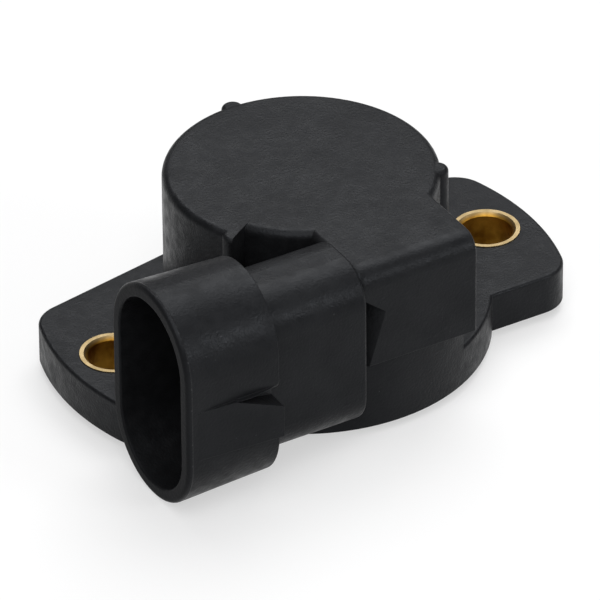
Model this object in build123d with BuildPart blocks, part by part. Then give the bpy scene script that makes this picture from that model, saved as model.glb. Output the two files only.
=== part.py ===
"""Accelerator potentiometer: a sensor that tells an engine how far its throttle is open.

The throttle spindle turns a rotor inside the moulded housing. A wiper on the rotor joins two
tracks on a plate under the roof, and three terminals lead from the plate to the socket.

Frame, in millimetres: the origin lies on the rotor axis, on the mounting face. X runs along the
line of the two fixing holes, the socket opens towards -X and lies on the -Y side, and Z points
up, away from the engine.
"""

from build123d import *
import os
from math import cos, radians, sin, sqrt, tan

os.makedirs("parts", exist_ok=True)

# Mounting flange
hole_spacing = 42.0
flange_thickness = 4.2
flange_edge = 0.35
ear_margin = 5.1
ear_front = 10.3
ear_corner = 3.5
ear_overrun = 2.0
flank_slope_angle = 10.6
back_ledge = 0.65
base_radius = 18.5

# Brass bushings in the ears
bushing_radius = 3.36
screw_radius = 2.6
bushing_chamfer = 0.35
bushing_proud = 0.1

# Drum that holds the plate and the rotor
drum_radius = 13.45
drum_top = 18.4
drum_edge = 0.8
roof_thickness = 2.5
chamber_radius = 10.8
rib_radius = 1.1
rib_proud = 0.75
rib_count = 3
rib_first_angle = 90.0
rib_drop = 0.05
rib_edge = 0.5
pocket_setback = 1.1
pocket_angle = 40.0
pocket_lead_angle = 1.5
pocket_edge = 0.85

# Block that carries the terminals from the drum to the socket
block_left = 4.95
block_right = 8.2
block_front = 19.1
block_bottom = 7.7
block_edge = 2.0
block_corner = 0.3
block_shoulder = 0.7
apron_left = 9.0
notch_top = 13.4
notch_width = 2.95
notch_foot = 1.15
notch_rise = 2.4
notch_depth = 2.5

# Connector socket
socket_offset = 15.7
socket_height = 10.4
mouth_distance = 25.9
step_distance = 15.75
tail_distance = 4.9
mouth_width = 14.3
mouth_height = 22.95
shroud_corner = 7.05
shroud_draft_angle = 2.2
shroud_wall = 1.4
shroud_floor = 2.0
rim_edge = 0.45
mouth_edge = 0.2
rear_width = 9.75
rear_height = 17.85
rear_corner = 3.9
rear_floor = 4.5
rear_edge = 0.35

# Ramp that the plug latches over, and the hollow above it
ramp_width = 5.4
ramp_drop = 1.2
ramp_setback = 1.1
ramp_proud = 0.95
ramp_root = 0.7
hollow_length = 5.0
hollow_depth = 1.5
hollow_dip = 2.0
hollow_rise = 0.5
hollow_curl = 1.3

# Terminals
terminal_pitch = 5.0
terminal_width = 1.5
terminal_thickness = 0.8
terminal_tip_chamfer = 0.25
blade_length = 8.0
tab_pitch = 4.4
tab_end_radius = 7.9

# Plate under the roof, with its printed tracks
plate_thickness = 1.0
plate_clearance = 0.2
film_thickness = 0.12
resistor_radius = 8.2
resistor_width = 1.6
collector_radius = 6.1
collector_width = 1.4
track_start_angle = -50.0
track_angle = 280.0
pad_angle = 22.0
pad_outer_radius = 9.6
signal_pad_width = 2.4

# Cover that closes the drum from below, its seal and its washer
cover_radius = 12.4
cover_thickness = 3.0
cover_sunk = 0.3
seal_radius = 6.6
seal_height = 1.2
seal_lip = 0.3
seal_clearance = 0.05
washer_radius = 6.7
washer_thickness = 0.5

# Rotor
journal_radius = 5.2
running_clearance = 0.06
end_float = 0.1
hub_radius = 6.4
hub_length = 7.3
disc_radius = 9.6
disc_thickness = 1.4
drive_radius = 4.0
drive_flat = 3.0
drive_depth = 8.2
drive_chamfer = 0.4
pivot_radius = 2.0
pivot_depth = 2.6
pivot_end_gap = 0.2

# Travel stops: a lug on the rotor between two ribs in the drum
turn_angle = 100.0
stop_slack_angle = 1.5
stop_clearance = 0.3
stop_root = 0.3
lug_angle = 60.0
lug_half_angle = 8.0
stop_half_angle = 5.0

# Return spring, wound from flat wire
wire_width = 0.7
wire_height = 0.6
coil_radius = 7.6
coil_turns = 4.75
spring_gap = 0.1
post_width = 1.2
post_length = 1.6
post_height = 1.1

# Wiper and its rivets
wiper_thickness = 0.2
wiper_margin = 0.9
wiper_base = 3.2
finger_width = 0.9
finger_reach = 5.0
finger_heel = 0.8
contact_gap = 0.1
rivet_radius = 0.45
rivet_head_radius = 0.75
rivet_head = 0.35

# Levels and radii that follow from the sizes above
ear_end_radius = hole_spacing / 2 + ear_margin
flank_radius = drum_radius + back_ledge
roof_level = drum_top - roof_thickness
plate_level = roof_level - plate_thickness
track_level = plate_level - film_thickness
cover_top = cover_sunk + cover_thickness
hub_level = cover_top + washer_thickness + end_float
disc_level = hub_level + hub_length
disc_top = disc_level + disc_thickness
stop_radius = disc_radius + stop_clearance
lug_radius = chamber_radius - stop_clearance
stop_swing = lug_half_angle + stop_half_angle + stop_slack_angle
stop_angles = (lug_angle - stop_swing, lug_angle + turn_angle + stop_swing)
socket_plane = Plane.YZ.offset(-mouth_distance)
shroud_length = mouth_distance - step_distance
cavity_depth = shroud_length - shroud_floor
cavity_floor = tail_distance + rear_floor
draft_slope = tan(radians(shroud_draft_angle))


def sector(inner, outer, start, span):
    """Makes a ring segment from angle start over span degrees, to be added to a sketch."""
    with BuildSketch() as segment:
        with BuildLine():
            inner_arc = CenterArc((0, 0), inner, start, span)
            outer_arc = CenterArc((0, 0), outer, start, span)
            Line(inner_arc @ 0, outer_arc @ 0)
            Line(inner_arc @ 1, outer_arc @ 1)
        make_face()
    return segment.sketch


def ring(inner, outer):
    """Draws a full ring into the open sketch."""
    Circle(outer)
    Circle(inner, mode=Mode.SUBTRACT)


# Terminals: a stamped blade and riser in one flat, with a tab bent inwards to the plate
terminals = []
for row, terminal_name in enumerate(("terminal_ground", "terminal_signal", "terminal_supply")):
    blade_level = socket_height + (row - 1) * terminal_pitch
    riser_x = (1 - row) * tab_pitch
    riser_low = min(blade_level, track_level - terminal_thickness)
    riser_high = max(blade_level, track_level)
    blade_tip = -cavity_floor - blade_length
    blade_end = riser_x + terminal_width / 2
    flat_front = socket_offset + terminal_thickness / 2
    tab_end = sqrt(tab_end_radius**2 - riser_x**2)
    with BuildPart() as terminal:
        with BuildSketch(Plane.XZ.offset(flat_front - terminal_thickness)):
            with Locations(((blade_tip + blade_end) / 2, blade_level)):
                Rectangle(blade_end - blade_tip, terminal_width)
            with Locations((riser_x, (riser_low + riser_high) / 2)):
                Rectangle(terminal_width, riser_high - riser_low)
        extrude(amount=terminal_thickness)
        with BuildSketch(Plane.XY.offset(track_level - terminal_thickness)):
            with Locations((riser_x, -(flat_front + tab_end) / 2)):
                Rectangle(terminal_width, flat_front - tab_end)
        extrude(amount=terminal_thickness)
        chamfer(terminal.faces().sort_by(Axis.X)[0].edges(), terminal_tip_chamfer)
    terminal.part.label = terminal_name
    export_step(terminal.part, f"parts/{terminal_name}.step")
    terminals.append(terminal.part)

# Upright half-round rib with a rounded head, one of those spaced round the drum
with BuildPart() as rib:
    with BuildSketch(Plane.XY.offset(flange_thickness)):
        Circle(rib_radius)
    extrude(amount=drum_top - rib_drop - flange_thickness)
    fillet(rib.edges().group_by(Axis.Z)[-1], rib_edge)

# Notch in the block next to the socket: one slanted face runs from its edge down to a deep corner
notch_peak = Vector(-block_left + notch_width, -block_front, notch_top)
notch_toe = Vector(-block_left + notch_foot, -block_front, block_bottom)
notch_root = Vector(-block_left, -block_front + notch_depth, notch_top)
notch_edge = notch_toe - notch_peak
with BuildPart() as notch:
    with BuildSketch(Plane.XZ.offset(block_front)):
        with BuildLine():
            Polyline(
                (-block_left, notch_top + notch_rise),
                (notch_peak.X, notch_peak.Z),
                (notch_toe.X, notch_toe.Z),
                (-block_left, block_bottom),
                close=True,
            )
        make_face()
    extrude(amount=-notch_depth)
    slant = Plane(origin=notch_peak, x_dir=notch_edge, z_dir=notch_edge.cross(notch_root - notch_peak))
    split(bisect_by=slant, keep=Keep.BOTTOM)

# Terminal block beside the drum
with BuildPart() as block:
    with BuildSketch(Plane.XY.offset(block_bottom)):
        with BuildLine():
            Polyline(
                (-block_left, 0),
                (-block_left, -block_front),
                (block_right, -block_front),
                (block_right, 0),
                close=True,
            )
        make_face()
    extrude(amount=drum_top - block_bottom)
    front_face = block.faces().sort_by(Axis.Y)[0]
    fillet(front_face.edges().sort_by(Axis.Z)[-1], block_edge)
    left_face = block.faces().sort_by(Axis.X)[0]
    fillet(left_face.edges().filter_by(Axis.Y).sort_by(Axis.Z)[-1], block_shoulder)
    right_face = block.faces().sort_by(Axis.X)[-1]
    fillet(right_face.edges().filter_by(Axis.Z).sort_by(Axis.Y)[0], block_corner)
    add(notch.part, mode=Mode.SUBTRACT)

# Hollow above the latch ramp: the shroud curls inwards over it, deeper towards the step
flat_at_mouth = -socket_offset - mouth_width / 2
flat_at_step = flat_at_mouth + shroud_length * draft_slope
ramp_top = socket_height - ramp_drop + ramp_width / 2
ramp_crest = flat_at_mouth - ramp_proud
hollow_start = -step_distance - hollow_length
hollow_runout = hollow_depth + hollow_length * draft_slope
with BuildPart() as hollow:
    with BuildSketch(Plane.YZ.offset(-step_distance)):
        with BuildLine():
            curl = Spline(
                (flat_at_step, ramp_top + hollow_rise),
                (flat_at_step + hollow_depth, ramp_top + hollow_rise - hollow_curl),
                tangents=((0, -1), (1, 0)),
            )
            Polyline(
                curl @ 1,
                (flat_at_step + hollow_depth, ramp_top - hollow_dip),
                (ramp_crest, ramp_top - hollow_dip),
                (ramp_crest, ramp_top + hollow_rise),
                curl @ 0,
            )
        make_face()
    runout = Vector(-hollow_length, -hollow_runout, hollow_curl - hollow_rise)
    extrude(amount=runout.length, dir=runout)
    with BuildSketch(Plane.XZ.offset(-flat_at_step - hollow_depth)):
        with BuildLine():
            Polyline(
                (hollow_start, ramp_top),
                (-step_distance, ramp_top - hollow_dip),
                (-step_distance, ramp_top + hollow_curl),
                (hollow_start, ramp_top + hollow_curl),
                close=True,
            )
        make_face()
    extrude(amount=hollow_depth + hollow_runout + ramp_proud, mode=Mode.INTERSECT)

# Outside of the socket: a drafted shroud, a narrower rear part and the latch ramp
with BuildPart() as shroud:
    with BuildSketch(socket_plane):
        with Locations((-socket_offset, socket_height)):
            RectangleRounded(mouth_width, mouth_height, shroud_corner)
    extrude(amount=shroud_length, taper=shroud_draft_angle)
    fillet(shroud.faces().sort_by(Axis.X)[0].edges(), rim_edge)
    with BuildSketch(Plane.YZ.offset(-step_distance)):
        with Locations((-socket_offset, socket_height)):
            RectangleRounded(rear_width, rear_height, rear_corner)
    extrude(amount=step_distance - tail_distance)
    fillet(shroud.faces().sort_by(Axis.X)[-1].edges(), rear_edge)
    ramp_start = -mouth_distance + ramp_setback
    flat_at_ramp = flat_at_mouth + ramp_setback * draft_slope
    with BuildSketch(Plane.XY.offset(ramp_top - ramp_width)):
        with BuildLine():
            Polyline(
                (ramp_start, flat_at_ramp),
                (-step_distance, flat_at_step - ramp_proud),
                (-step_distance, flat_at_step + ramp_root),
                (ramp_start, flat_at_ramp + ramp_root),
                close=True,
            )
        make_face()
    extrude(amount=ramp_width)
    add(hollow.part, mode=Mode.SUBTRACT)

# Housing: flange, drum, block and socket in one moulding
flank_angle = radians(flank_slope_angle)
tangent_x = flank_radius * sin(flank_angle)
tangent_y = flank_radius * cos(flank_angle)
ear_reach = ear_end_radius + ear_overrun
ear_back = (flank_radius - ear_reach * sin(flank_angle)) / cos(flank_angle)
pocket_radius = drum_radius - drum_edge - pocket_setback
pocket_start_angle = rib_first_angle + 360 / rib_count + pocket_lead_angle
with BuildPart() as housing:
    with BuildSketch() as flange_outline:
        with BuildLine():
            front_edge = Line((-ear_reach, -ear_front), (ear_reach, -ear_front))
            right_edge = Line(front_edge @ 1, (ear_reach, ear_back))
            right_flank = Line(right_edge @ 1, (tangent_x, tangent_y))
            back_arc = ThreePointArc(right_flank @ 1, (0, flank_radius), (-tangent_x, tangent_y))
            left_flank = Line(back_arc @ 1, (-ear_reach, ear_back))
            Line(left_flank @ 1, front_edge @ 0)
        make_face()
        Circle(ear_end_radius, mode=Mode.INTERSECT)
        ear_points = flange_outline.vertices().filter_by(lambda v: abs(v.X) > hole_spacing / 2)
        fillet(ear_points, ear_corner)
        with BuildLine():
            base_arc = CenterArc((0, 0), base_radius, 180, 180)
            Line(base_arc @ 0, base_arc @ 1)
        make_face()
    extrude(amount=flange_thickness)
    fillet(housing.faces().sort_by(Axis.Z)[-1].outer_wire().edges(), flange_edge)

    with BuildSketch():
        with BuildLine():
            apron_arc = CenterArc((0, 0), base_radius, 180, 180)
            Line(apron_arc @ 0, apron_arc @ 1)
        make_face()
        with Locations(((block_right - apron_left) / 2, 0)):
            Rectangle(apron_left + block_right, 2 * base_radius, mode=Mode.INTERSECT)
    extrude(amount=block_bottom)

    with BuildSketch():
        Circle(drum_radius)
    extrude(amount=drum_top)
    fillet(housing.edges().sort_by(Axis.Z)[-1], drum_edge)
    with PolarLocations(drum_radius + rib_proud - rib_radius, rib_count, start_angle=rib_first_angle):
        add(rib.part)
    with BuildSketch(Plane.XY.offset(block_bottom)):
        add(sector(pocket_radius, drum_radius + rib_radius, pocket_start_angle, pocket_angle))
    extrude(amount=drum_top - block_bottom, mode=Mode.SUBTRACT)
    pocket_rim = housing.edges().group_by(Axis.Z)[-1].filter_by(GeomType.CIRCLE).sort_by(SortBy.RADIUS)[0]
    fillet(pocket_rim, pocket_edge)

    add(block.part)
    add(shroud.part)

    with BuildSketch(socket_plane):
        with Locations((-socket_offset, socket_height)):
            RectangleRounded(
                mouth_width - 2 * shroud_wall,
                mouth_height - 2 * shroud_wall,
                shroud_corner - shroud_wall,
            )
    extrude(amount=cavity_depth, taper=shroud_draft_angle, mode=Mode.SUBTRACT)
    with BuildSketch(socket_plane):
        with Locations((-socket_offset, socket_height)):
            RectangleRounded(
                rear_width - 2 * shroud_wall,
                rear_height - 2 * shroud_wall,
                rear_corner - shroud_wall,
            )
    extrude(amount=mouth_distance - cavity_floor, mode=Mode.SUBTRACT)
    fillet(housing.faces().filter_by(Axis.X).sort_by(Axis.X)[0].inner_wires()[0].edges(), mouth_edge)

    with BuildSketch():
        with Locations((-hole_spacing / 2, 0), (hole_spacing / 2, 0)):
            Circle(bushing_radius)
    extrude(amount=flange_thickness, mode=Mode.SUBTRACT)
    with BuildSketch():
        Circle(chamber_radius)
    extrude(amount=roof_level, mode=Mode.SUBTRACT)
    with BuildSketch():
        Circle(cover_radius)
    extrude(amount=cover_top, mode=Mode.SUBTRACT)

    with BuildSketch(Plane.XY.offset(cover_top)):
        for stop_angle in stop_angles:
            stop_side = stop_angle - stop_half_angle
            add(sector(stop_radius, chamber_radius + stop_root, stop_side, 2 * stop_half_angle))
    extrude(amount=roof_level - cover_top)
    with BuildSketch(Plane.XY.offset(disc_top - pivot_depth + pivot_end_gap)):
        Circle(pivot_radius)
    extrude(amount=roof_level - disc_top + pivot_depth - pivot_end_gap)
    for terminal_part in terminals:
        add(terminal_part, mode=Mode.SUBTRACT)
housing.part.label = "housing"
export_step(housing.part, "parts/housing.step")

# Bushings that take the squeeze of the fixing screws
for side, bushing_name in ((-1, "bushing_left"), (1, "bushing_right")):
    with BuildPart() as bushing:
        with BuildSketch():
            with Locations((side * hole_spacing / 2, 0)):
                ring(screw_radius, bushing_radius)
        extrude(amount=flange_thickness + bushing_proud)
        bore_edges = bushing.edges().filter_by(
            lambda e: e.geom_type == GeomType.CIRCLE and e.radius < (screw_radius + bushing_radius) / 2
        )
        chamfer(bore_edges, bushing_chamfer)
    bushing.part.label = bushing_name
    export_step(bushing.part, f"parts/{bushing_name}.step")

# Round plate against the roof, keyed by the two travel stops
with BuildPart() as resistor_plate:
    with BuildSketch(Plane.XY.offset(plate_level)):
        ring(pivot_radius, chamber_radius - plate_clearance)
    extrude(amount=plate_thickness)
    key_half_angle = stop_half_angle + stop_slack_angle
    with BuildSketch(Plane.XY.offset(plate_level)):
        for stop_angle in stop_angles:
            key_side = stop_angle - key_half_angle
            add(sector(stop_radius - plate_clearance, chamber_radius, key_side, 2 * key_half_angle))
    extrude(amount=plate_thickness, mode=Mode.SUBTRACT)
resistor_plate.part.label = "resistor_plate"
export_step(resistor_plate.part, "parts/resistor_plate.step")

# Carbon horseshoe printed on the plate
resistor_inner = resistor_radius - resistor_width / 2
with BuildPart() as resistor_track:
    with BuildSketch(Plane.XY.offset(track_level)):
        add(sector(resistor_inner, resistor_inner + resistor_width, track_start_angle, track_angle))
    extrude(amount=film_thickness)
resistor_track.part.label = "resistor_track"
export_step(resistor_track.part, "parts/resistor_track.step")

# Collector ring inside the horseshoe
collector_outer = collector_radius + collector_width / 2
with BuildPart() as collector_track:
    with BuildSketch(Plane.XY.offset(track_level)):
        ring(collector_outer - collector_width, collector_outer)
    extrude(amount=film_thickness)
collector_track.part.label = "collector_track"
export_step(collector_track.part, "parts/collector_track.step")

# Printed pads that lead from the tracks to the terminal tabs
with BuildPart() as conductor_pads:
    with BuildSketch(Plane.XY.offset(track_level)):
        add(sector(resistor_inner, pad_outer_radius, track_start_angle - pad_angle, pad_angle))
        add(sector(resistor_inner, pad_outer_radius, track_start_angle + track_angle, pad_angle))
    extrude(amount=film_thickness)
    with BuildSketch(Plane.XY.offset(track_level)):
        ring(collector_outer, pad_outer_radius)
        with Locations((0, -pad_outer_radius / 2)):
            Rectangle(signal_pad_width, pad_outer_radius, mode=Mode.INTERSECT)
    extrude(amount=film_thickness)
conductor_pads.part.label = "conductor_pads"
export_step(conductor_pads.part, "parts/conductor_pads.step")

# Cover with the lower bearing, the seal seat and the post that holds the spring
with BuildPart() as cover:
    with BuildSketch(Plane.XY.offset(cover_sunk)):
        ring(journal_radius + running_clearance, cover_radius)
    extrude(amount=cover_thickness)
    with BuildSketch(Plane.XY.offset(cover_sunk)):
        Circle(seal_radius)
    extrude(amount=seal_height, mode=Mode.SUBTRACT)
    with BuildSketch(Plane.XY.offset(cover_top)):
        with Locations((coil_radius, spring_gap + post_width / 2)):
            Rectangle(post_length, post_width)
    extrude(amount=post_height)
cover.part.label = "cover"
export_step(cover.part, "parts/cover.step")

# Rubber ring with a tapered lip towards the journal
with BuildPart() as hub_seal:
    with BuildSketch(Plane.XZ):
        with BuildLine():
            Polyline(
                (journal_radius + seal_clearance, cover_sunk + seal_lip),
                (journal_radius + seal_clearance + seal_lip, cover_sunk),
                (seal_radius, cover_sunk),
                (seal_radius, cover_sunk + seal_height),
                (journal_radius + seal_clearance + seal_lip, cover_sunk + seal_height),
                (journal_radius + seal_clearance, cover_sunk + seal_height - seal_lip),
                close=True,
            )
        make_face()
    revolve(axis=Axis.Z)
hub_seal.part.label = "hub_seal"
export_step(hub_seal.part, "parts/hub_seal.step")

# Washer that the rotor's shoulder bears on
with BuildPart() as thrust_washer:
    with BuildSketch(Plane.XY.offset(cover_top)):
        ring(journal_radius + running_clearance, washer_radius)
    extrude(amount=washer_thickness)
thrust_washer.part.label = "thrust_washer"
export_step(thrust_washer.part, "parts/thrust_washer.step")

# Torsion spring between the post on the cover and the post under the disc
spring_low = cover_top + spring_gap + wire_height / 2
spring_high = disc_level - spring_gap - wire_height / 2
coil_rise = spring_high - spring_low
with BuildPart() as return_spring:
    with BuildLine() as coil_path:
        Helix(
            pitch=coil_rise / coil_turns,
            height=coil_rise,
            radius=coil_radius,
            center=(0, 0, spring_low),
            lefthand=True,
        )
    with BuildSketch(Plane(origin=coil_path.line @ 0, x_dir=(1, 0, 0), z_dir=coil_path.line % 0)):
        Rectangle(wire_width, wire_height)
    sweep(path=coil_path.line, is_frenet=True)
return_spring.part.label = "return_spring"
export_step(return_spring.part, "parts/return_spring.step")

# Places of the wiper's two fingers, so that each tip lands on the middle of its track
finger_places = [sqrt(r**2 - finger_reach**2) for r in (collector_radius, resistor_radius)]
wiper_inner = finger_places[0] - wiper_margin
wiper_outer = finger_places[1] + wiper_margin
rivet_place = sum(finger_places) / 2
rivet_offset = wiper_base / 4

# Rotor with its drive socket below, the disc above and the travel lug on the disc
with BuildPart() as rotor:
    with BuildSketch(Plane.XY.offset(cover_sunk)):
        Circle(journal_radius)
    extrude(amount=hub_level - cover_sunk)
    with BuildSketch(Plane.XY.offset(hub_level)):
        Circle(hub_radius)
    extrude(amount=hub_length)
    with BuildSketch(Plane.XY.offset(disc_level)):
        Circle(disc_radius)
        add(sector(hub_radius, lug_radius, lug_angle - lug_half_angle, 2 * lug_half_angle))
    extrude(amount=disc_thickness)
    with BuildSketch(Plane.XY.offset(disc_level - post_height)):
        with Locations((spring_gap + post_width / 2, coil_radius)):
            Rectangle(post_width, post_length)
    extrude(amount=post_height)
    with BuildSketch(Plane.XY.offset(cover_sunk)):
        Circle(drive_radius)
        with Locations((0, drive_flat - drive_radius)):
            Rectangle(2 * drive_radius, 2 * drive_radius, mode=Mode.INTERSECT)
    extrude(amount=drive_depth, mode=Mode.SUBTRACT)
    mouth_face = rotor.faces().sort_by(Axis.Z)[0]
    chamfer(mouth_face.inner_wires()[0].edges(), drive_chamfer)
    with BuildSketch(Plane.XY.offset(disc_top)):
        Circle(pivot_radius + running_clearance)
    extrude(amount=-pivot_depth, mode=Mode.SUBTRACT)
    with BuildSketch(Plane.XY.offset(disc_level)):
        with Locations((rivet_place, -rivet_offset), (rivet_place, rivet_offset)):
            Circle(rivet_radius)
    extrude(amount=disc_thickness, mode=Mode.SUBTRACT)
rotor.part.label = "rotor"
export_step(rotor.part, "parts/rotor.step")

# Wiper: a stamped base with two sprung fingers that rise to the tracks
finger_top = track_level - contact_gap
with BuildPart() as wiper:
    with BuildSketch(Plane.XY.offset(disc_top)):
        with Locations(((wiper_inner + wiper_outer) / 2, 0)):
            Rectangle(wiper_outer - wiper_inner, wiper_base)
        with Locations((rivet_place, -rivet_offset), (rivet_place, rivet_offset)):
            Circle(rivet_radius, mode=Mode.SUBTRACT)
    extrude(amount=wiper_thickness)
    for finger_place in finger_places:
        with BuildSketch(Plane.YZ.offset(finger_place - finger_width / 2)):
            with BuildLine():
                Polyline(
                    (wiper_base / 2 - finger_heel, disc_top),
                    (wiper_base / 2, disc_top),
                    (finger_reach, finger_top - wiper_thickness),
                    (finger_reach + finger_heel, finger_top - finger_heel),
                    (finger_reach + finger_heel, finger_top - finger_heel + wiper_thickness),
                    (finger_reach, finger_top),
                    (wiper_base / 2, disc_top + wiper_thickness),
                    (wiper_base / 2 - finger_heel, disc_top + wiper_thickness),
                    close=True,
                )
            make_face()
        extrude(amount=finger_width)
wiper.part.label = "wiper"
export_step(wiper.part, "parts/wiper.step")

# Rivets that fix the wiper to the disc
with BuildPart() as wiper_rivets:
    with BuildSketch(Plane.XY.offset(disc_level)):
        with Locations((rivet_place, -rivet_offset), (rivet_place, rivet_offset)):
            Circle(rivet_radius)
    extrude(amount=disc_thickness + wiper_thickness)
    with BuildSketch(Plane.XY.offset(disc_top + wiper_thickness)):
        with Locations((rivet_place, -rivet_offset), (rivet_place, rivet_offset)):
            Circle(rivet_head_radius)
    extrude(amount=rivet_head)
    fillet(wiper_rivets.edges().group_by(Axis.Z)[-1], rivet_head / 2)
wiper_rivets.part.label = "wiper_rivets"
export_step(wiper_rivets.part, "parts/wiper_rivets.step")
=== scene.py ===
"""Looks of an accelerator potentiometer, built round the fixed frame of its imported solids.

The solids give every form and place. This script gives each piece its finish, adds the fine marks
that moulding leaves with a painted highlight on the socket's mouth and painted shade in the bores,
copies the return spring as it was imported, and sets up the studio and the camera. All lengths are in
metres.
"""

import logging
import math
from dataclasses import dataclass
from enum import Enum

import bpy
from mathutils import Matrix, Vector


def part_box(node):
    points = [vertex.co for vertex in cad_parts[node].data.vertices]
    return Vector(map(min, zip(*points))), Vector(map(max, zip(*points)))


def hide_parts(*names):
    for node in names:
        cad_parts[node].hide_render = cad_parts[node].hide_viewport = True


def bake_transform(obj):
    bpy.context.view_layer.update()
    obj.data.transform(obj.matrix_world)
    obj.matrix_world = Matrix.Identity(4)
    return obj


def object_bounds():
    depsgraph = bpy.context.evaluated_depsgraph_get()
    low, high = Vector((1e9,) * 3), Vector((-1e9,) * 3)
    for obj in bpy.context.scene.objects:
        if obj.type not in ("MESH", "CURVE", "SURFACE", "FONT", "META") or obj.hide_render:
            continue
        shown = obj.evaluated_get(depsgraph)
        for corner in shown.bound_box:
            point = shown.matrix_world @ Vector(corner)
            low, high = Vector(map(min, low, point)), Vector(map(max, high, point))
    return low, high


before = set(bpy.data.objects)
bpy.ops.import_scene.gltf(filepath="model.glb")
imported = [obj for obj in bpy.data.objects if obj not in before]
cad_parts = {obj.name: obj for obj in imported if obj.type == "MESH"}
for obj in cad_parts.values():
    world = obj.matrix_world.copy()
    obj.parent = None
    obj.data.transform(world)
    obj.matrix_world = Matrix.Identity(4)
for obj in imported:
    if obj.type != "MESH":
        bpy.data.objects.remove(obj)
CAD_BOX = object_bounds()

LOG = logging.getLogger("potentiometer")
MM = 0.001

Socket = bpy.types.NodeSocket
Colour = tuple[float, float, float]
Value = float | Socket


class Slot(Enum):
    """The record's material slots, by the piece of the sensor that each one finishes."""

    HOUSING = "black_plastic"
    COVER = "cover_plastic"
    BUSHING = "bushing_brass"
    TERMINAL = "terminal_tin"
    PLATE = "plate_laminate"
    TRACK = "carbon_ink"
    PAD = "silver_ink"
    SEAL = "seal_rubber"
    WASHER = "washer_steel"
    SPRING = "spring_steel"
    ROTOR = "rotor_plastic"
    WIPER = "wiper_bronze"


class Along(Enum):
    """The direction in which a worked metal shows its streaks."""

    X = (1.0, 0.0, 0.0)
    Y = (0.0, 1.0, 0.0)


class Band(Enum):
    """The part of a cloudy pattern's range that a finish uses; it is held at the ends."""

    WHOLE = (0.3, 0.7)
    MIDDLE = (0.35, 0.65)
    CORE = (0.38, 0.62)
    UPPER = (0.35, 0.7)
    HIGH = (0.4, 0.75)
    PEAKS = (0.55, 0.7)


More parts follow.
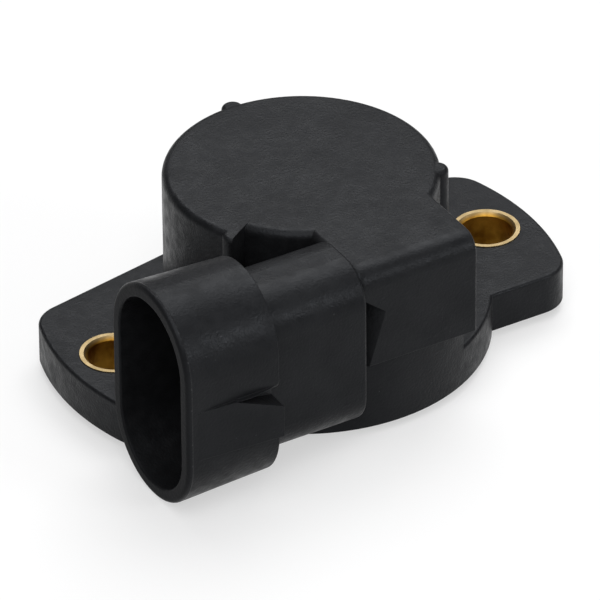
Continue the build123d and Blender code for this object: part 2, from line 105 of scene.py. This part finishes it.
class ShaderGraph:
    """The node tree of one material, with short calls for the nodes that the finishes share."""

    def __init__(self, name: str) -> None:
        """Starts a material with its shader and the object's own coordinates.

        Args:
            name: Name of the new material.
        """
        self.material = bpy.data.materials.new(name)
        self.material.use_nodes = True
        self.tree = self.material.node_tree
        self.shader = self.tree.nodes["Principled BSDF"]
        self.place = self.add("ShaderNodeTexCoord").outputs["Object"]

    def add(self, kind: str, **settings: object) -> bpy.types.Node:
        """Adds one node.

        Args:
            kind: Blender's name for the type of node.
            settings: Properties to set on the node.

        Returns:
            The new node.
        """
        node = self.tree.nodes.new(kind)
        for key, value in settings.items():
            setattr(node, key, value)
        return node

    def feed(self, target: Socket, value: object) -> None:
        """Links a socket, or sets its value where it is given a plain one.

        Args:
            target: The input to feed.
            value: Another node's output, a number or a tuple of numbers.
        """
        if isinstance(value, Socket):
            self.tree.links.new(value, target)
        else:
            target.default_value = value

    def set_shader(self, **inputs: object) -> None:
        """Feeds the shader.

        Args:
            inputs: What each input gets, under its name with underscores for spaces.
        """
        for key, value in inputs.items():
            self.feed(self.shader.inputs[key.replace("_", " ")], value)

    def math(self, operation: str, first: Value, second: Value = 0.0) -> Socket:
        """Works out one number from two.

        Args:
            operation: Blender's name for the operation.
            first: First number or output.
            second: Second number or output.

        Returns:
            The result's output.
        """
        node = self.add("ShaderNodeMath", operation=operation)
        self.feed(node.inputs[0], first)
        self.feed(node.inputs[1], second)
        return node.outputs[0]

    def distance(self, first: Socket, second: Socket) -> Socket:
        """Works out how far a place lies from an axis.

        Args:
            first: Its offset from the axis in one direction.
            second: Its offset square to the first.

        Returns:
            The distance.
        """
        squares = (self.math("POWER", first, 2.0), self.math("POWER", second, 2.0))
        return self.math("SQRT", self.math("ADD", *squares))

    def wave(self, place: Socket, pitch: float) -> Socket:
        """Makes an even wave.

        Args:
            place: The length that the wave runs along.
            pitch: Length of one wave in metres.

        Returns:
            A value from -1 to 1.
        """
        return self.math("SINE", self.math("MULTIPLY", place, math.tau / pitch))

    def axes(self) -> tuple[Socket, Socket, Socket]:
        """Splits the object's coordinates.

        Returns:
            The places along X, Y and Z.
        """
        node = self.add("ShaderNodeSeparateXYZ")
        self.feed(node.inputs[0], self.place)
        return node.outputs["X"], node.outputs["Y"], node.outputs["Z"]

    def scaled(self, factors: Colour) -> Socket:
        """Stretches the object's coordinates by a factor along each axis.

        Args:
            factors: The three factors.

        Returns:
            The stretched place.
        """
        node = self.add("ShaderNodeVectorMath", operation="MULTIPLY")
        self.feed(node.inputs[0], self.place)
        node.inputs[1].default_value = factors
        return node.outputs[0]

    def reach(self, axis_x: float) -> tuple[Socket, Socket]:
        """Measures from the nearer of two upright axes that lie alike on either side of the object.

        Args:
            axis_x: How far each axis lies from the middle.

        Returns:
            The distance from the axis, and the height.
        """
        x, y, z = self.axes()
        across = self.math("SUBTRACT", self.math("ABSOLUTE", x), axis_x)
        return self.distance(across, y), z

    def noise(self, size: float, detail: float = 3.0, place: Socket | None = None) -> Socket:
        """Makes a cloudy pattern.

        Args:
            size: Width of its larger patches in metres.
            detail: How many finer layers it has.
            place: Coordinates to use in place of the object's own.

        Returns:
            A value that mostly lies in Band.WHOLE.
        """
        node = self.add("ShaderNodeTexNoise")
        self.feed(node.inputs["Vector"], place or self.place)
        node.inputs["Scale"].default_value = 1.0 / size
        node.inputs["Detail"].default_value = detail
        return node.outputs["Fac"]

    def remap(
        self, value: Socket, low: float, high: float, to_low: float = 0.0, to_high: float = 1.0,
    ) -> Socket:
        """Carries a value from one range to another and holds it there.

        Args:
            value: The output to carry over.
            low: Lower end of its range.
            high: Upper end of its range.
            to_low: What the lower end becomes.
            to_high: What the upper end becomes.

        Returns:
            The value in its new range.
        """
        node = self.add("ShaderNodeMapRange")
        self.feed(node.inputs["Value"], value)
        limits = {"From Min": low, "From Max": high, "To Min": to_low, "To Max": to_high}
        for key, limit in limits.items():
            node.inputs[key].default_value = limit
        return node.outputs["Result"]

    def spread(self, pattern: Socket, band: Band, low: float = 0.0, high: float = 1.0) -> Socket:
        """Carries a band of a cloudy pattern to another range.

        Args:
            pattern: The pattern.
            band: The part of its range that is used.
            low: What the band's lower end becomes.
            high: What its upper end becomes.

        Returns:
            The value in its new range.
        """
        return self.remap(pattern, *band.value, low, high)

    def blend(self, share: Socket, first: Colour | Socket, second: Colour | Socket) -> Socket:
        """Mixes two colours.

        Args:
            share: How much of the second colour shows.
            first: First colour or output.
            second: Second colour or output.

        Returns:
            The mixed colour.
        """
        node = self.add("ShaderNodeMix", data_type="RGBA")
        self.feed(node.inputs["Factor"], share)
        for socket, colour in ((node.inputs[6], first), (node.inputs[7], second)):
            self.feed(socket, colour if isinstance(colour, Socket) else (*colour, 1.0))
        return node.outputs[2]

    def mix(self, share: Value, first: Value, second: Value) -> Socket:
        """Mixes two numbers.

        Args:
            share: How much of the second number counts.
            first: First number or output.
            second: Second number or output.

        Returns:
            The mixed number.
        """
        node = self.add("ShaderNodeMix", data_type="FLOAT")
        sockets = (node.inputs[0], node.inputs[2], node.inputs[3])
        for socket, value in zip(sockets, (share, first, second)):
            self.feed(socket, value)
        return node.outputs[0]

    def bump(self, height: Socket, depth: float, normal: Socket | None = None) -> Socket:
        """Turns a height into a relief.

        Args:
            height: The pattern, from 0 to 1.
            depth: Real height of the pattern in metres.
            normal: A relief that this one lies on.

        Returns:
            The surface's normal.
        """
        node = self.add("ShaderNodeBump")
        node.inputs["Distance"].default_value = depth
        self.feed(node.inputs["Height"], height)
        if normal is not None:
            self.feed(node.inputs["Normal"], normal)
        return node.outputs["Normal"]

    def rounded_edges(self, radius: float) -> Socket:
        """Softens the shading of sharp edges, as a small rounding does.

        Args:
            radius: Radius of the rounding in metres.

        Returns:
            The softened normal.
        """
        node = self.add("ShaderNodeBevel", samples=8)
        node.inputs["Radius"].default_value = radius
        return node.outputs["Normal"]


@dataclass(frozen=True, kw_only=True)
class Finish:
    """What every finish has, and the call that makes its material."""

    name: str
    colour: Colour
    roughness: float
    roughness_spread: float = 0.08

    def material(self) -> bpy.types.Material:
        """Makes the material; each kind of finish has its own."""
        raise NotImplementedError

    def uneven_roughness(self, graph: ShaderGraph, pattern: Socket) -> Socket:
        """Lets the roughness rise and fall with a pattern.

        Args:
            graph: The material that shows it.
            pattern: A cloudy pattern.

        Returns:
            The roughness.
        """
        low, high = self.roughness - self.roughness_spread, self.roughness + self.roughness_spread
        return graph.spread(pattern, Band.WHOLE, low, high)


@dataclass(frozen=True, kw_only=True)
class MattFace:
    """The end face of a moulding, where the mould closed on a dull insert."""

    end_x: float
    side_y: float
    depth: float
    roughness: float
    specular: float

    def share(self, graph: ShaderGraph) -> Socket:
        """Marks the face.

        Args:
            graph: The material that shows it.

        Returns:
            1 on the face and 0 away from it.
        """
        x, y, _ = graph.axes()
        near = graph.remap(x, self.end_x, self.end_x + self.depth, 1.0, 0.0)
        return graph.math("MULTIPLY", near, graph.math("LESS_THAN", y, self.side_y))


@dataclass(frozen=True, kw_only=True)
class PaintedHighlightFlash:
    """A thin broken pale line round the outside of the socket's mouth, on its edge rounding: a painted
    highlight of that edge, over a low raised line of flash.
    """

    place_x: float
    middle_y: float
    middle_z: float
    straight: float
    inner_reach: float
    outer_reach: float
    width: float
    height: float
    chip_size: float
    thin_share: float
    colour: Colour

    def share(self, graph: ShaderGraph) -> Socket:
        """Marks the line on the outside of the socket, which is an oval with straight sides.

        Args:
            graph: The material that shows it.

        Returns:
            1 on the middle of the line and 0 away from it.
        """
        x, y, z = graph.axes()
        away = graph.math("ABSOLUTE", graph.math("SUBTRACT", x, self.place_x))
        near = graph.remap(away, 0.0, self.width / 2, 1.0, 0.0)
        across = graph.math("SUBTRACT", y, self.middle_y)
        upright = graph.math("ABSOLUTE", graph.math("SUBTRACT", z, self.middle_z))
        beyond = graph.math("MAXIMUM", graph.math("SUBTRACT", upright, self.straight / 2), 0.0)
        reach = graph.distance(across, beyond)
        outside = graph.math("GREATER_THAN", reach, self.inner_reach)
        socket = graph.math("LESS_THAN", reach, self.outer_reach)
        return graph.math("MULTIPLY", near, graph.math("MULTIPLY", outside, socket))

    def highlight_chips(self, graph: ShaderGraph, line: Socket) -> Socket:
        """Breaks the painted highlight into pale chips with thin stretches between them.

        Args:
            graph: The material that shows it.
            line: The whole line.

        Returns:
            How much of the painted highlight's colour shows.
        """
        chips = graph.spread(graph.noise(self.chip_size, detail=2.0), Band.PEAKS, self.thin_share)
        return graph.math("MULTIPLY", line, chips)


@dataclass(frozen=True, kw_only=True)
class MouldedPlastic(Finish):
    """Filled plastic from a spark-worked mould: fine grain, faint flow marks and a few specks."""

    pale: Colour
    specular: float
    roughness_spread: float = 0.11
    sheen: Colour = (0.88, 0.93, 1.0)
    grain_size: float = 0.26 * MM
    grain_depth: float = 0.042 * MM
    mottle_size: float = 1.1 * MM
    flow_size: float = 9.0 * MM
    flow_share: float = 0.4
    speck_size: float = 0.35 * MM
    speck_level: float = 0.88
    speck_band: float = 0.03
    speck_share: float = 0.4
    speck_gain: float = 6.0
    smudge_size: float = 4.0 * MM
    smudge_share: float = 0.12
    edge_radius: float = 0.12 * MM
    matt_face: MattFace | None = None
    highlight_flash: PaintedHighlightFlash | None = None

    def tone(self, graph: ShaderGraph, mottle: Socket) -> Socket:
        """Makes the colour, with its clouds and specks.

        Args:
            graph: The material that shows it.
            mottle: The finer of the two clouds.

        Returns:
            The colour.
        """
        cloud = graph.mix(self.flow_share, mottle, graph.noise(self.flow_size, detail=2.0))
        plain = graph.blend(graph.spread(cloud, Band.WHOLE), self.colour, self.pale)
        dust = graph.noise(self.speck_size, detail=0.0)
        speck_top = self.speck_level + self.speck_band
        specks = graph.remap(dust, self.speck_level, speck_top, 0.0, self.speck_share)
        return graph.blend(specks, plain, tuple(self.speck_gain * part for part in self.pale))

    def shine(self, graph: ShaderGraph) -> Socket:
        """Makes the strength of the reflections, uneven where the piece was handled.

        Args:
            graph: The material that shows it.

        Returns:
            The strength.
        """
        smudges = graph.noise(self.smudge_size, detail=5.0)
        dull, bright = (self.specular * (1.0 + side * self.smudge_share) for side in (-1, 1))
        return graph.spread(smudges, Band.MIDDLE, dull, bright)

    def material(self) -> bpy.types.Material:
        """Makes the plastic.

        Returns:
            The material.
        """
        graph = ShaderGraph(self.name)
        mottle = graph.noise(self.mottle_size, detail=4.0)
        tone = self.tone(graph, mottle)
        edges = graph.rounded_edges(self.edge_radius)
        relief = graph.bump(graph.noise(self.grain_size), self.grain_depth, edges)
        roughness = self.uneven_roughness(graph, mottle)
        specular = self.shine(graph)
        if self.highlight_flash:
            # painted highlight: a pale broken line on the mouth's outer edge rounding, with a low relief of
            # flash under it
            highlight_flash_mask = self.highlight_flash.share(graph)
            tone = graph.blend(self.highlight_flash.highlight_chips(graph, highlight_flash_mask), tone, self.highlight_flash.colour)
            relief = graph.bump(highlight_flash_mask, self.highlight_flash.height, relief)
        if self.matt_face:
            share = self.matt_face.share(graph)
            roughness = graph.mix(share, roughness, self.matt_face.roughness)
            specular = graph.mix(share, specular, self.matt_face.specular)
        graph.set_shader(
            Base_Color=tone,
            Roughness=roughness,
            Specular_IOR_Level=specular,
            Specular_Tint=(*self.sheen, 1.0),
            Normal=relief,
        )
        return graph.material


@dataclass(frozen=True, kw_only=True)
class TurnedBrass(Finish):
    """Brass turned on a lathe: fine rings about each bushing's own axis, and a bore painted a deeper amber
    with darker patches of painted shade.
    """

    dark: Colour
    bore: Colour
    bore_shade: Colour
    axis_x: float
    outer_radius: float
    roughness_spread: float = 0.07
    bore_depth: float = 0.72 * MM
    flat_depth: float = 0.40 * MM
    mark_pitch: float = 0.09 * MM
    mark_depth: float = 0.0016 * MM
    tarnish_size: float = 1.2 * MM
    stain_size: float = 2.4 * MM

    def material(self) -> bpy.types.Material:
        """Makes the brass; both bushings share it, since they lie alike on either side.

        Returns:
            The material.
        """
        graph = ShaderGraph(self.name)
        reach, height = graph.reach(self.axis_x)
        rings = graph.wave(graph.math("ADD", reach, height), self.mark_pitch)
        tarnish = graph.noise(self.tarnish_size, detail=5.0)
        bore_shade_cloud = graph.noise(self.stain_size, detail=4.0)
        metal = graph.blend(graph.spread(tarnish, Band.UPPER), self.colour, self.dark)
        # painted shade: the bore is a deeper amber that goes dark in patches
        bore = graph.blend(graph.spread(bore_shade_cloud, Band.CORE), self.bore, self.bore_shade)
        bore_edge, flat_edge = self.outer_radius - self.bore_depth, self.outer_radius - self.flat_depth
        inside = graph.remap(reach, bore_edge, flat_edge, 1.0, 0.0)
        graph.set_shader(
            Base_Color=graph.blend(inside, metal, bore),
            Metallic=1.0,
            Roughness=self.uneven_roughness(graph, tarnish),
            Normal=graph.bump(graph.remap(rings, -1.0, 1.0), self.mark_depth),
        )
        return graph.material


@dataclass(frozen=True, kw_only=True)
class RolledMetal(Finish):
    """Strip, wire or stampings with streaks along the way the metal was drawn or rolled."""

    dark: Colour
    along: Along
    cloud_size: float = 1.5 * MM
    streak_width: float = 0.05 * MM
    streak_length: float = 2.0 * MM
    streak_depth: float = 0.001 * MM

    def material(self) -> bpy.types.Material:
        """Makes the metal.

        Returns:
            The material.
        """
        graph = ShaderGraph(self.name)
        squeeze = self.streak_width / self.streak_length
        factors = tuple(squeeze if part else 1.0 for part in self.along.value)
        streaks = graph.noise(self.streak_width, detail=2.0, place=graph.scaled(factors))
        cloud = graph.noise(self.cloud_size, detail=4.0)
        graph.set_shader(
            Base_Color=graph.blend(graph.spread(cloud, Band.UPPER), self.colour, self.dark),
            Metallic=1.0,
            Roughness=self.uneven_roughness(graph, streaks),
            Normal=graph.bump(streaks, self.streak_depth),
        )
        return graph.material


@dataclass(frozen=True, kw_only=True)
class Laminate(Finish):
    """Cut sheet of woven glass in resin, with the cloth just showing."""

    pale: Colour
    cloud_size: float = 1.0 * MM
    thread_pitch: float = 0.4 * MM
    thread_depth: float = 0.004 * MM

    def material(self) -> bpy.types.Material:
        """Makes the laminate.

        Returns:
            The material.
        """
        graph = ShaderGraph(self.name)
        x, y, _ = graph.axes()
        warp, weft = graph.wave(x, self.thread_pitch), graph.wave(y, self.thread_pitch)
        weave = graph.remap(graph.math("MULTIPLY", warp, weft), -1.0, 1.0)
        graph.set_shader(
            Base_Color=graph.blend(weave, self.colour, self.pale),
            Roughness=self.uneven_roughness(graph, graph.noise(self.cloud_size)),
            Normal=graph.bump(weave, self.thread_depth),
        )
        return graph.material


@dataclass(frozen=True, kw_only=True)
class PrintedInk(Finish):
    """Ink pressed through a fine screen: the mesh and the grains of its filler show."""

    pale: Colour
    roughness_spread: float = 0.1
    metallic: float = 0.0
    cloud_size: float = 1.4 * MM
    mesh_size: float = 0.08 * MM
    mesh_depth: float = 0.005 * MM

    def material(self) -> bpy.types.Material:
        """Makes the ink.

        Returns:
            The material.
        """
        graph = ShaderGraph(self.name)
        grains = graph.noise(self.mesh_size)
        cloud = graph.noise(self.cloud_size)
        graph.set_shader(
            Base_Color=graph.blend(graph.spread(cloud, Band.WHOLE), self.colour, self.pale),
            Metallic=self.metallic,
            Roughness=self.uneven_roughness(graph, grains),
            Normal=graph.bump(grains, self.mesh_depth),
        )
        return graph.material


@dataclass(frozen=True, kw_only=True)
class MouldedRubber(Finish):
    """Dull rubber with a dusty bloom."""

    bloom: Colour
    specular: float = 0.25
    bloom_size: float = 0.8 * MM
    grain_size: float = 0.1 * MM
    grain_depth: float = 0.004 * MM

    def material(self) -> bpy.types.Material:
        """Makes the rubber.

        Returns:
            The material.
        """
        graph = ShaderGraph(self.name)
        cloud = graph.noise(self.bloom_size, detail=5.0)
        graph.set_shader(
            Base_Color=graph.blend(graph.spread(cloud, Band.HIGH), self.colour, self.bloom),
            Roughness=self.uneven_roughness(graph, cloud),
            Specular_IOR_Level=self.specular,
            Normal=graph.bump(graph.noise(self.grain_size), self.grain_depth),
        )
        return graph.material


def dress_pieces(pieces: tuple[bpy.types.Object, ...], finish: Finish) -> None:
    """Gives pieces a finish.

    Args:
        pieces: The pieces to dress.
        finish: The finish that they share.
    """
    material = finish.material()
    for piece in pieces:
        for holder in piece.material_slots:
            holder.material = material
        LOG.info("%s dressed as %s", piece.name, finish.name)


def dress_nodes(names: tuple[str, ...], finish: Finish) -> None:
    """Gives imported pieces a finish.

    Args:
        names: The nodes to dress.
        finish: The finish that they share.
    """
    dress_pieces(tuple(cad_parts[name] for name in names), finish)


def bushing_place() -> tuple[float, float]:
    """Finds the bushings, which lie alike on either side of the drum.

    Returns:
        How far each one's axis lies from the middle, and its outer radius.
    """
    low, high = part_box("bushing_right")
    return (low.x + high.x) / 2, (high.x - low.x) / 2


@dataclass
class Housing:
    """The moulded housing: flange, drum, terminal block and socket."""

    finish: MouldedPlastic = MouldedPlastic(
        name="housing_plastic", colour=(0.0065, 0.0067, 0.0074), pale=(0.0105, 0.0107, 0.0115),
        roughness=0.40, specular=0.125,
        # the pale line on the socket mouth's outer edge is a painted highlight over a low relief of flash
        highlight_flash=PaintedHighlightFlash(
            place_x=-25.42 * MM, middle_y=-15.7 * MM, middle_z=10.4 * MM, straight=8.65 * MM,
            inner_reach=6.5 * MM, outer_reach=7.6 * MM, width=0.22 * MM, height=0.03 * MM,
            chip_size=0.3 * MM, thin_share=0.1, colour=(0.05, 0.05, 0.052),
        ),
        matt_face=MattFace(
            end_x=-25.9 * MM, side_y=-6.0 * MM, depth=0.3 * MM, roughness=0.55, specular=0.06,
        ),
    )

    def dress(self) -> None:
        """Gives the moulding its satin black."""
        dress_nodes(("housing",), self.finish)


@dataclass
class Bushings:
    """The two brass bushings in the ears."""

    colour: Colour = (0.375, 0.285, 0.152)
    dark: Colour = (0.30, 0.222, 0.108)
    bore: Colour = (0.50, 0.265, 0.035)
    # darkest painted shade in the bores
    bore_shade: Colour = (0.20, 0.088, 0.008)
    roughness: float = 0.45

    def dress(self) -> None:
        """Gives the bushings their turned brass, with its rings about their own axes."""
        axis_x, outer_radius = bushing_place()
        finish = TurnedBrass(
            name="turned_brass", colour=self.colour, dark=self.dark, bore=self.bore, bore_shade=self.bore_shade,
            roughness=self.roughness, axis_x=axis_x, outer_radius=outer_radius,
        )
        dress_nodes(("bushing_left", "bushing_right"), finish)


@dataclass
class Terminals:
    """The three plated blades that run from the plate into the socket."""

    finish: RolledMetal = RolledMetal(
        name="tin_plate", colour=(0.62, 0.60, 0.56), dark=(0.46, 0.44, 0.40), roughness=0.34, along=Along.X,
    )

    def dress(self) -> None:
        """Gives the blades their tin."""
        names = ("terminal_ground", "terminal_signal", "terminal_supply")
        dress_nodes(names, self.finish)


@dataclass
class SensingPlate:
    """The plate under the roof with its printed tracks and pads."""

    sheet: Laminate = Laminate(
        name="plate_sheet", colour=(0.36, 0.30, 0.15), pale=(0.48, 0.42, 0.24), roughness=0.5,
    )
    carbon: PrintedInk = PrintedInk(
        name="track_carbon", colour=(0.014, 0.014, 0.016), pale=(0.028, 0.028, 0.030), roughness=0.6,
    )
    silver: PrintedInk = PrintedInk(
        name="pad_silver", colour=(0.60, 0.60, 0.57), pale=(0.72, 0.71, 0.68),
        roughness=0.45, metallic=0.8,
    )

    def dress(self) -> None:
        """Gives the sheet, the tracks and the pads their finishes."""
        dress_nodes(("resistor_plate",), self.sheet)
        dress_nodes(("resistor_track", "collector_track"), self.carbon)
        dress_nodes(("conductor_pads",), self.silver)


@dataclass
class LowerCover:
    """The cover that closes the drum from below, with its seal and its washer."""

    plate: MouldedPlastic = MouldedPlastic(
        name="cover_moulding", colour=(0.012, 0.012, 0.013), pale=(0.019, 0.019, 0.020),
        roughness=0.48, specular=0.25,
    )
    rubber: MouldedRubber = MouldedRubber(
        name="seal_moulding", colour=(0.010, 0.010, 0.010), bloom=(0.030, 0.030, 0.029), roughness=0.75,
    )
    steel: RolledMetal = RolledMetal(
        name="washer_strip", colour=(0.52, 0.53, 0.54), dark=(0.38, 0.39, 0.40),
        roughness=0.35, along=Along.Y,
    )

    def dress(self) -> None:
        """Gives the cover, the seal and the washer their finishes."""
        dress_nodes(("cover",), self.plate)
        dress_nodes(("hub_seal",), self.rubber)
        dress_nodes(("thrust_washer",), self.steel)


@dataclass
class ReturnSpring:
    """The torsion spring round the hub, which winds as the rotor turns."""

    node: str = "return_spring"
    finish: RolledMetal = RolledMetal(
        name="spring_wire", colour=(0.47, 0.47, 0.48), dark=(0.30, 0.30, 0.31),
        roughness=0.32, along=Along.X,
    )

    def build(self) -> bpy.types.Object:
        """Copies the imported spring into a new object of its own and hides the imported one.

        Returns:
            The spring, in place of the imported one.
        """
        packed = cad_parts[self.node]
        coil = bpy.data.objects.new("wound_spring", packed.data.copy())
        bpy.context.scene.collection.objects.link(coil)
        coil.matrix_world = packed.matrix_world
        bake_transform(coil)
        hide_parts(self.node)
        return coil

    def dress(self) -> None:
        """Builds the copied spring and gives it its drawn wire."""
        dress_pieces((self.build(),), self.finish)


@dataclass
class Rotor:
    """The turning part: the rotor with its wiper and rivets."""

    bearing: MouldedPlastic = MouldedPlastic(
        name="rotor_moulding", colour=(0.62, 0.59, 0.51), pale=(0.70, 0.68, 0.61),
        roughness=0.4, specular=0.4, speck_level=0.95, grain_depth=0.012 * MM,
    )
    bronze: RolledMetal = RolledMetal(
        name="wiper_strip", colour=(0.76, 0.52, 0.25), dark=(0.60, 0.38, 0.17),
        roughness=0.28, along=Along.Y,
    )

    def dress(self) -> None:
        """Gives the rotor its bearing plastic and the wiper its bronze."""
        dress_nodes(("rotor",), self.bearing)
        dress_nodes(("wiper", "wiper_rivets"), self.bronze)


def heading(azimuth: float, elevation: float) -> Vector:
    """Gives the direction from the object to a place round it.

    Args:
        azimuth: Degrees round the object; 0 lies towards -Y and 90 towards +X.
        elevation: Degrees above the floor.

    Returns:
        The unit direction.
    """
    turn, rise = math.radians(azimuth), math.radians(elevation)
    return Vector((math.sin(turn) * math.cos(rise), -math.cos(turn) * math.cos(rise), math.sin(rise)))


@dataclass(frozen=True)
class Softbox:
    """One flat lamp that faces the object."""

    name: str
    azimuth: float
    elevation: float
    distance: float
    width: float
    height: float
    radiance: float

    def build(self, centre: Vector) -> None:
        """Places the lamp.

        Args:
            centre: The point that it faces.
        """
        data = bpy.data.lights.new(self.name, "AREA")
        data.shape = "RECTANGLE"
        data.size, data.size_y = self.width, self.height
        data.energy = self.radiance * math.pi * self.width * self.height
        lamp = bpy.data.objects.new(self.name, data)
        bpy.context.scene.collection.objects.link(lamp)
        direction = heading(self.azimuth, self.elevation)
        lamp.location = centre + direction * self.distance
        lamp.rotation_mode = "QUATERNION"
        lamp.rotation_quaternion = direction.to_track_quat("Z", "Y")
        LOG.info("%s placed", self.name)


@dataclass
class Studio:
    """The pale floor, the soft lamps and the dim room round them."""

    floor_reach: float = 6.0
    floor_colour: Colour = (0.36, 0.36, 0.36)
    floor_roughness: float = 0.9
    floor_glow: float = 0.53
    shade_radius: float = 3.4 * MM
    shade_fade: float = 0.8 * MM
    room_colour: Colour = (0.13, 0.13, 0.136)
    lamps: tuple[Softbox, ...] = (
        Softbox(
            "backdrop_box", azimuth=142.0, elevation=58.0, distance=1.5, width=1.3, height=1.3, radiance=3.9,
        ),
        Softbox(
            "front_box", azimuth=32.0, elevation=22.0, distance=1.3, width=0.5, height=0.4, radiance=7.5,
        ),
        Softbox(
            "fill_box", azimuth=55.0, elevation=52.0, distance=1.3, width=1.2, height=1.2, radiance=0.55,
        ),
        Softbox(
            "upper_box", azimuth=318.0, elevation=55.0, distance=1.3, width=0.9, height=1.2, radiance=3.3,
        ),
    )

    def floor(self) -> None:
        """Lays the floor under the object's lowest point."""
        level, reach = CAD_BOX[0].z, self.floor_reach
        mesh = bpy.data.meshes.new("floor")
        corners = [(x * reach, y * reach, level) for x, y in ((-1, -1), (1, -1), (1, 1), (-1, 1))]
        mesh.from_pydata(corners, [], [(0, 1, 2, 3)])
        floor = bpy.data.objects.new("floor", mesh)
        bpy.context.scene.collection.objects.link(floor)
        mesh.materials.append(self.floor_material())

    def floor_material(self) -> bpy.types.Material:
        """Makes the floor white to the eye and to polished metal, with the object's shadow kept.

        The glow leaves out a spot under each bushing, which no lamp reaches, so that the bores stay
        as dark as they are on a real table.

        Returns:
            The material.
        """
        graph = ShaderGraph("studio_floor")
        axis_x, _ = bushing_place()
        reach, _ = graph.reach(axis_x)
        clear = graph.remap(reach, self.shade_radius, self.shade_radius + self.shade_fade)
        rays = graph.add("ShaderNodeLightPath").outputs
        seen = graph.math("MAXIMUM", rays["Is Camera Ray"], rays["Is Glossy Ray"])
        seen = graph.math("MAXIMUM", seen, rays["Is Transmission Ray"])
        glowing = graph.math("MULTIPLY", seen, clear)
        graph.set_shader(
            Base_Color=(*self.floor_colour, 1.0),
            Roughness=self.floor_roughness,
            Specular_IOR_Level=0.0,
            Emission_Color=(1.0, 1.0, 1.0, 1.0),
            Emission_Strength=graph.math("MULTIPLY", glowing, self.floor_glow),
        )
        return graph.material

    def room(self) -> None:
        """Sets the dim light of the room."""
        world = bpy.data.worlds.new("room")
        bpy.context.scene.world = world
        world.use_nodes = True
        background = world.node_tree.nodes["Background"]
        background.inputs["Color"].default_value = (*self.room_colour, 1.0)

    def build(self) -> None:
        """Sets up the floor, the lamps and the room."""
        centre = (CAD_BOX[0] + CAD_BOX[1]) / 2
        self.floor()
        for softbox in self.lamps:
            softbox.build(centre)
        self.room()
        bpy.context.scene.view_settings.view_transform = "Standard"


@dataclass
class StudioCamera:
    """The camera, at the angle from which the object is shown."""

    azimuth: float = 329.649
    elevation: float = 33.794
    roll: float = -0.5
    distance: float = 821.27 * MM
    aim_right: float = -0.235 * MM
    aim_up: float = 2.548 * MM
    focal_pixels: float = 8425.5
    image_pixels: float = 600.0
    sensor_mm: float = 36.0

    def build(self) -> None:
        """Places the camera."""
        data = bpy.data.cameras.new("camera")
        data.sensor_width = self.sensor_mm
        data.lens = self.focal_pixels / self.image_pixels * self.sensor_mm
        camera = bpy.data.objects.new("camera", data)
        bpy.context.scene.collection.objects.link(camera)
        back = heading(self.azimuth, self.elevation)
        turn, tilt = math.radians(self.azimuth), math.radians(self.roll)
        level = Vector((math.cos(turn), math.sin(turn), 0.0))
        right = level * math.cos(tilt) + back.cross(level) * math.sin(tilt)
        up = back.cross(right)
        place = back * self.distance + right * self.aim_right + up * self.aim_up
        axes = Matrix((right, up, back)).transposed().to_4x4()
        camera.matrix_world = Matrix.Translation(place) @ axes
        bpy.context.scene.camera = camera
        LOG.info("camera placed")


def main() -> None:
    """Dresses each part of the sensor, then sets up the studio and the camera."""
    logging.basicConfig(level=logging.INFO, format="%(message)s")
    parts = (
        Housing(), Bushings(), Terminals(), SensingPlate(), LowerCover(), ReturnSpring(), Rotor(),
    )
    for part in parts:
        part.dress()
    Studio().build()
    StudioCamera().build()


if __name__ == "__main__":
    main()
